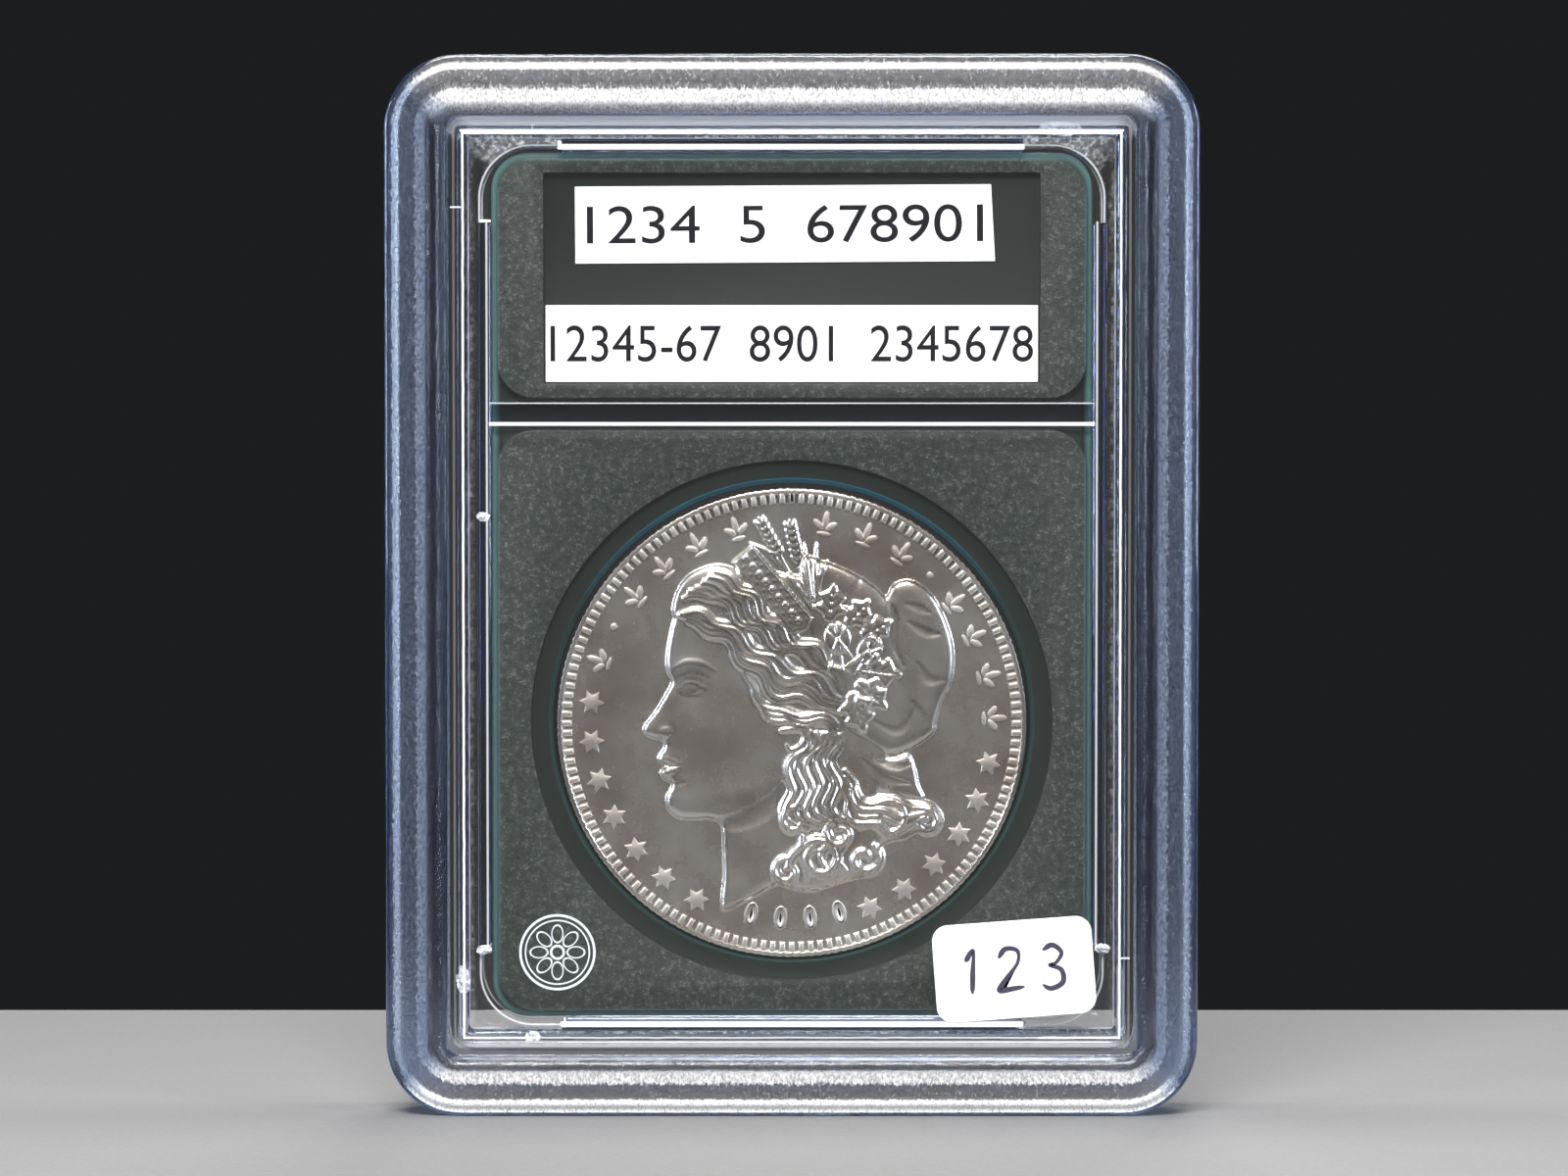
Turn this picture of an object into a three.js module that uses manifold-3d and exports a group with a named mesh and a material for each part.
// Graded coin slab: two clear shells that snap together round a dark insert with one large coin in it.
// Millimetres, +Z up, front face towards -Y, standing on its bottom edge with the origin under its middle.
import * as THREE from "three";
import { mergeVertices } from "three/addons/utils/BufferGeometryUtils.js";
import Module from "manifold-3d";

// Case
const slabWidth = 65.5;
const slabHeight = 85.5;
const slabCornerRadius = 6;
const outerWall = 1.2;
const windowThickness = 1.4;
const seamGap = 0.05;

// Stacking ridge round each face
const ridgeHeight = 1.2; // above the window
const ridgeLip = 0.7; // from the case edge to the foot of the ridge
const lipDrop = 0.6; // from the top of the ridge to the lip
const ridgeWidth = 4.1;
const ridgeChamfer = 0.5;
const ridgeWeb = 1.2; // wall under the inner edge of the ridge
const lipChamfer = 0.3;

// Snap walls inside the rim: the back shell's groove wall takes the front shell's tongue wall
const grooveStandoff = 0.25; // from the ridge to the groove wall
const grooveWall = 0.65;
const tongueWall = 0.6;
const tongueClearance = 0.1;
const wallEndGap = 0.2; // from a wall's free end to the other shell's window
const snapWallRadius = 1.2;
const snapBeadHeight = 0.06;
const snapBeadLength = 0.5; // along the closing direction
const snapBeadSetback = 0.3; // from the tongue's free end
const snapBeadCornerGap = 5.5; // from a wall's end to where its bead starts

// Ribs that hold the insert in place
const ribThickness = 0.9;
const ribGapSide = 1.0; // from the tongue wall, at the left and right
const ribGapEnd = 0.3; // from the tongue wall, at the top and bottom
const ribCornerGap = 5.7; // a rib stops this far before the insert's corner
const ribMeetingGap = 0.2; // between the front and back ribs
const insertClearance = 0.15;

// Pry notches in the two long sides, near the bottom
const notchLength = 5.6;
const notchBottom = 7.0; // above the bottom edge
const notchDepth = 0.6;
const notchOpening = 1.6; // across the seam

// Coin
const coinDiameter = 38.1;
const coinThickness = 2.4;
const coinRimWidth = 1.3;
const coinFieldDepth = 0.2;
const coinEdgeChamfer = 0.15;
const coinClearance = 0.25; // radial, in the insert's hole
const coinDrop = 0.2; // the coin hangs low in its hole

// Insert
const insertFaceMargin = 0.3; // the insert's face stands this far over the coin's rim
const insertFaceGap = 0.2; // from the insert's face to the window
const insertCornerRadius = 2.9;
const insertChamfer = 0.3;
const padHeight = 0.6; // the raised pads over the insert's base
const padMargin = 0.5; // from the insert's edge
const padRadius = 3;
const padChamfer = 0.15;
const labelPadHeight = 19.35;
const dividerBarHeight = 1.85;
const dividerClearance = 0.33; // above and below the bar
const dividerFloorGap = 0.1;
const labelRecessSide = 3.75; // from the pad's edge
const labelRecessTop = 1.15;
const labelRecessBottom = 1.2;
const coinRingWidth = 1.8; // recessed ring round the coin's hole
const coinRingDepth = 0.4;

// Printed tapes in the label recess and the lot sticker on the front window
const tapeThickness = 0.12;
const tapeHeight = 6.2;
const tapeBackGap = 0.02;
const upperTapeLength = 33.9;
const upperTapeSlant = 0.3; // the right end is cut aslant
const upperTapeDrop = 1.0; // below the recess's upper edge
const upperTapeShift = -0.55;
const upperTapeTilt = 0.35; // degrees
const lowerTapeEndGap = 0.15;
const lowerTapeRise = 0.15; // above the recess's lower edge
const stickerWidth = 12.9;
const stickerHeight = 7.9;
const stickerRadius = 1.3;
const stickerThickness = 0.1;
const stickerTilt = 4.2; // degrees
const stickerOverlap = 0.1; // past the insert's right edge
const stickerRise = 0.15; // above the insert's lower edge

const cornerSegments = 4; // half of the steps round a quarter turn
const roundSegments = 80;

// Sizes that follow from the ones above
const insertThickness = coinThickness + 2 * insertFaceMargin;
const windowInner = insertThickness / 2 + insertFaceGap;
const windowOuter = windowInner + windowThickness;
const ridgeTop = windowOuter + ridgeHeight;
const lipTop = ridgeTop - lipDrop;
const ridgeInset = ridgeLip + ridgeWidth;
const grooveInset = ridgeInset + grooveStandoff;
const tongueInset = grooveInset + grooveWall + tongueClearance;
const tongueInnerInset = tongueInset + tongueWall;
const insertSideInset = tongueInnerInset + ribGapSide + ribThickness + insertClearance;
const insertEndInset = tongueInnerInset + ribGapEnd + ribThickness + insertClearance;
const insertWidth = slabWidth - 2 * insertSideInset;
const insertHeight = slabHeight - 2 * insertEndInset;
const coinRadius = coinDiameter / 2;
const coinHoleRadius = coinRadius + coinClearance;
const padWidth = insertWidth - 2 * padMargin;
const padTop = insertHeight / 2 - padMargin;
const labelPadBottom = padTop - labelPadHeight;
const dividerGap = dividerBarHeight + 2 * dividerClearance;
const coinPadTop = labelPadBottom - dividerGap;
const coinPadHeight = coinPadTop + padTop;
const dividerCentre = labelPadBottom - dividerGap / 2;
const coinHoleCentre = coinPadTop - coinPadHeight / 2;
const insertBaseFront = padHeight - insertThickness / 2;
const recessWidth = padWidth - 2 * labelRecessSide;
const recessTop = padTop - labelRecessTop;
const recessBottom = labelPadBottom + labelRecessBottom;
const joint = 0.2; // how far a joined piece reaches into what carries it
const beyond = 2; // how far a cutter reaches past what it cuts

const wasm = await Module();
wasm.setup();

// A closed geometry as a solid that can be joined and cut.
function solidFrom(geometry) {
  const bare = geometry.clone();
  bare.deleteAttribute("normal");
  bare.deleteAttribute("uv");
  const merged = mergeVertices(bare, 1e-4);
  return new wasm.Manifold(
    new wasm.Mesh({
      numProp: 3,
      vertProperties: merged.attributes.position.array,
      triVerts: new Uint32Array(merged.index.array),
    }),
  );
}

// The solid's own surface as a geometry.
function geometryFrom(solid) {
  const mesh = solid.getMesh();
  const geometry = new THREE.BufferGeometry();
  geometry.setAttribute("position", new THREE.BufferAttribute(mesh.vertProperties, 3));
  geometry.setIndex(new THREE.BufferAttribute(mesh.triVerts, 1));
  geometry.computeVertexNormals();
  return geometry;
}

// A rectangle with round corners, about the point (x, z) of the slab's plane.
function roundedRectangle(width, height, radius, x = 0, z = 0) {
  const left = x - width / 2;
  const bottom = z - height / 2;
  const right = left + width;
  const top = bottom + height;
  const shape = new THREE.Shape();
  shape.moveTo(left + radius, bottom);
  shape.lineTo(right - radius, bottom);
  shape.absarc(right - radius, bottom + radius, radius, -Math.PI / 2, 0);
  shape.lineTo(right, top - radius);
  shape.absarc(right - radius, top - radius, radius, 0, Math.PI / 2);
  shape.lineTo(left + radius, top);
  shape.absarc(left + radius, top - radius, radius, Math.PI / 2, Math.PI);
  shape.lineTo(left, bottom + radius);
  shape.absarc(left + radius, bottom + radius, radius, Math.PI, 1.5 * Math.PI);
  return shape;
}

// A shape of the slab's plane, given depth from yFront to yBack, with an optional chamfer on both rims.
function plateGeometry(shape, yFront, yBack, chamfer = 0) {
  const geometry = new THREE.ExtrudeGeometry(shape, {
    depth: yBack - yFront - 2 * chamfer,
    curveSegments: cornerSegments,
    bevelEnabled: chamfer > 0,
    bevelThickness: chamfer,
    bevelSize: chamfer,
    bevelOffset: -chamfer,
    bevelSegments: 1,
  });
  geometry.rotateX(Math.PI / 2);
  geometry.translate(0, yBack - chamfer, 0);
  return geometry;
}

function plate(shape, yFront, yBack, chamfer = 0) {
  return solidFrom(plateGeometry(shape, yFront, yBack, chamfer));
}

// The slab's outline moved inwards, with corners of its own radius where one is given.
function outline(inset, radius = Math.max(slabCornerRadius - inset, 0.6)) {
  return roundedRectangle(slabWidth - 2 * inset, slabHeight - 2 * inset, radius);
}

// A wall that runs all the way round between two insets.
function ringWall(outerInset, innerInset, radius, yFront, yBack) {
  const innerRadius = Math.max(radius - (innerInset - outerInset), 0.3);
  const outer = plate(outline(outerInset, radius), yFront, yBack);
  return outer.subtract(plate(outline(innerInset, innerRadius), yFront - beyond, yBack + beyond));
}

function block(width, height, yFront, yBack, x, z) {
  const geometry = new THREE.BoxGeometry(width, yBack - yFront, height);
  geometry.translate(x, (yFront + yBack) / 2, z);
  return solidFrom(geometry);
}

function disc(radius, yFront, yBack, z) {
  const geometry = new THREE.CylinderGeometry(radius, radius, yBack - yFront, roundSegments);
  geometry.translate(0, (yFront + yBack) / 2, z);
  return solidFrom(geometry);
}

// Tray that both shells start from, as the front one: rim, ridge, window and rim hollow.
function shellTray() {
  const rim = plate(outline(0), -lipTop, -seamGap / 2, lipChamfer);
  const squareSeam = plate(outline(0), -seamGap / 2 - 2 * lipChamfer, -seamGap / 2);
  const ridge = plate(outline(ridgeLip), -ridgeTop, -windowInner, ridgeChamfer);
  const windowPocket = plate(outline(ridgeInset), -ridgeTop - beyond, -windowOuter);
  const pocketMouth = plate(
    outline(ridgeInset - ridgeChamfer),
    -ridgeTop - beyond,
    -ridgeTop + ridgeChamfer,
    ridgeChamfer,
  );
  const inside = plate(outline(outerWall), -windowInner, beyond);
  const ceilingInner = -ridgeTop + windowThickness;
  const webInset = ridgeInset - ridgeWeb;
  const rimHollow = ringWall(outerWall, webInset, slabCornerRadius - outerWall, ceilingInner, 0);
  return rim.add(squareSeam).add(ridge).subtract(windowPocket).subtract(pocketMouth).subtract(inside)
    .subtract(rimHollow);
}

// The four ribs round the insert, on the front window's inner face.
function locatingRibs() {
  const xCentre = insertWidth / 2 + insertClearance + ribThickness / 2;
  const zCentre = insertHeight / 2 + insertClearance + ribThickness / 2;
  const sideLength = insertHeight - 2 * ribCornerGap;
  const endLength = insertWidth - 2 * ribCornerGap;
  const yFront = -windowInner - joint;
  const yBack = -ribMeetingGap / 2;
  const sides = [-1, 1].map((s) => block(ribThickness, sideLength, yFront, yBack, s * xCentre, 0));
  const ends = [-1, 1].map((s) => block(endLength, ribThickness, yFront, yBack, 0, s * zCentre));
  return [...sides, ...ends];
}

// Low beads along the middle of each tongue wall, near its free end.
function snapBeads() {
  const yBack = windowInner - wallEndGap - snapBeadSetback;
  const yFront = yBack - snapBeadLength;
  const depth = snapBeadHeight + joint;
  const xCentre = slabWidth / 2 - tongueInset + snapBeadHeight - depth / 2;
  const zCentre = slabHeight / 2 - tongueInset + snapBeadHeight - depth / 2;
  const sideLength = slabHeight - 2 * (tongueInset + snapBeadCornerGap);
  const endLength = slabWidth - 2 * (tongueInset + snapBeadCornerGap);
  const sides = [-1, 1].map((s) => block(depth, sideLength, yFront, yBack, s * xCentre, 0));
  const ends = [-1, 1].map((s) => block(endLength, depth, yFront, yBack, 0, s * zCentre));
  return [...sides, ...ends];
}

function pryNotches() {
  const z = notchBottom + notchLength / 2 - slabHeight / 2;
  const width = notchDepth + beyond;
  const x = slabWidth / 2 - notchDepth + width / 2;
  return [-1, 1].map((s) => block(width, notchLength, -notchOpening / 2, notchOpening / 2, s * x, z));
}

const addAll = (solid, pieces) => pieces.reduce((sum, piece) => sum.add(piece), solid);
const cutAll = (solid, pieces) => pieces.reduce((rest, piece) => rest.subtract(piece), solid);

function frontShell() {
  const tongueEnd = windowInner - wallEndGap;
  const tongue = ringWall(tongueInset, tongueInnerInset, snapWallRadius, -windowInner - joint, tongueEnd);
  const barBack = insertBaseFront - dividerFloorGap;
  const barFront = -windowInner - joint;
  const dividerBar = block(insertWidth, dividerBarHeight, barFront, barBack, 0, dividerCentre);
  const whole = addAll(shellTray(), [tongue, dividerBar, ...locatingRibs(), ...snapBeads()]);
  return cutAll(whole, pryNotches());
}

function backShell() {
  const grooveEnd = windowInner - wallEndGap;
  const grooveInner = grooveInset + grooveWall;
  const wallFront = -windowInner - joint;
  const groove = ringWall(grooveInset, grooveInner, snapWallRadius + grooveWall, wallFront, grooveEnd);
  const whole = addAll(shellTray(), [groove, ...locatingRibs()]);
  // Made like the front shell, then turned half round the upright axis.
  return cutAll(whole, pryNotches()).rotate([0, 0, 180]);
}

function insert() {
  const face = insertThickness / 2;
  const base = plate(
    roundedRectangle(insertWidth, insertHeight, insertCornerRadius),
    insertBaseFront,
    face,
    insertChamfer,
  );
  const pad = (height, top) => plate(
    roundedRectangle(padWidth, height, padRadius, 0, top - height / 2),
    -face,
    insertBaseFront + insertChamfer,
    padChamfer,
  );
  const labelRecess = block(
    recessWidth,
    recessTop - recessBottom,
    -face - beyond,
    insertBaseFront,
    0,
    (recessTop + recessBottom) / 2,
  );
  const ringRadius = coinHoleRadius + coinRingWidth;
  return base
    .add(pad(labelPadHeight, padTop))
    .add(pad(coinPadHeight, coinPadTop))
    .subtract(labelRecess)
    .subtract(disc(ringRadius, -face - beyond, coinRingDepth - face, coinHoleCentre))
    .subtract(disc(ringRadius, face - coinRingDepth, face + beyond, coinHoleCentre))
    .subtract(disc(coinHoleRadius, -face - beyond, face + beyond, coinHoleCentre));
}

// The coin turns about the slab's Y axis, which is the lathe's own axis.
function coinGeometry() {
  const rim = coinThickness / 2;
  const field = rim - coinFieldDepth;
  const rimInner = coinRadius - coinRimWidth;
  const half = [
    [rimInner, field],
    [rimInner + coinFieldDepth, rim],
    [coinRadius - coinEdgeChamfer, rim],
    [coinRadius, rim - coinEdgeChamfer],
  ];
  const points = [
    [0, -field],
    ...half.map(([r, y]) => [r, -y]),
    ...half.toReversed(),
    [0, field],
  ];
  return new THREE.LatheGeometry(points.map(([r, y]) => new THREE.Vector2(r, y)), roundSegments);
}

// A tape with square ends, or with its right end cut aslant, about its own middle.
function tapeShape(length, slant) {
  const shape = new THREE.Shape();
  shape.moveTo(-length / 2, -tapeHeight / 2);
  shape.lineTo(length / 2, -tapeHeight / 2);
  shape.lineTo(length / 2 - slant, tapeHeight / 2);
  shape.lineTo(-length / 2, tapeHeight / 2);
  shape.closePath();
  return shape;
}

const finishes = {
  clearPlastic: { color: 0xe9eff2, roughness: 0.12, metalness: 0, transparent: true, opacity: 0.35 },
  insertPlastic: { color: 0x2b3632, roughness: 0.6, metalness: 0 },
  silver: { color: 0xa9a39b, roughness: 0.3, metalness: 1 },
  paper: { color: 0xf4f4f2, roughness: 0.7, metalness: 0 },
};

const slab = new THREE.Group();
slab.position.z = slabHeight / 2;

function addPiece(name, geometry, finish, place = {}) {
  const mesh = new THREE.Mesh(geometry, new THREE.MeshStandardMaterial(finishes[finish]));
  mesh.name = name;
  mesh.position.set(place.x ?? 0, 0, place.z ?? 0);
  // Turned in the slab's own plane, anticlockwise as seen from the front.
  mesh.rotation.y = -THREE.MathUtils.degToRad(place.tilt ?? 0);
  slab.add(mesh);
}

addPiece("front_shell", geometryFrom(frontShell()), "clearPlastic");
addPiece("back_shell", geometryFrom(backShell()), "clearPlastic");
addPiece("insert", geometryFrom(insert()), "insertPlastic");
addPiece("coin", coinGeometry(), "silver", { z: coinHoleCentre - coinDrop });

const tapeBack = insertBaseFront - tapeBackGap;
const lowerTapeLength = recessWidth - 2 * lowerTapeEndGap;
const tape = (length, slant) => plateGeometry(tapeShape(length, slant), tapeBack - tapeThickness, tapeBack);
addPiece("label_strip_upper", tape(upperTapeLength, upperTapeSlant), "paper", {
  x: upperTapeShift,
  z: recessTop - upperTapeDrop - tapeHeight / 2,
  tilt: upperTapeTilt,
});
addPiece("label_strip_lower", tape(lowerTapeLength, 0), "paper", {
  z: recessBottom + lowerTapeRise + tapeHeight / 2,
});

const stickerBack = -windowOuter - tapeBackGap;
const stickerShape = roundedRectangle(stickerWidth, stickerHeight, stickerRadius);
addPiece(
  "lot_sticker",
  plateGeometry(stickerShape, stickerBack - stickerThickness, stickerBack),
  "paper",
  {
    x: insertWidth / 2 + stickerOverlap - stickerWidth / 2,
    z: -insertHeight / 2 + stickerRise + stickerHeight / 2,
    tilt: stickerTilt,
  },
);

const part = new THREE.Group();
part.add(slab);

export default part;
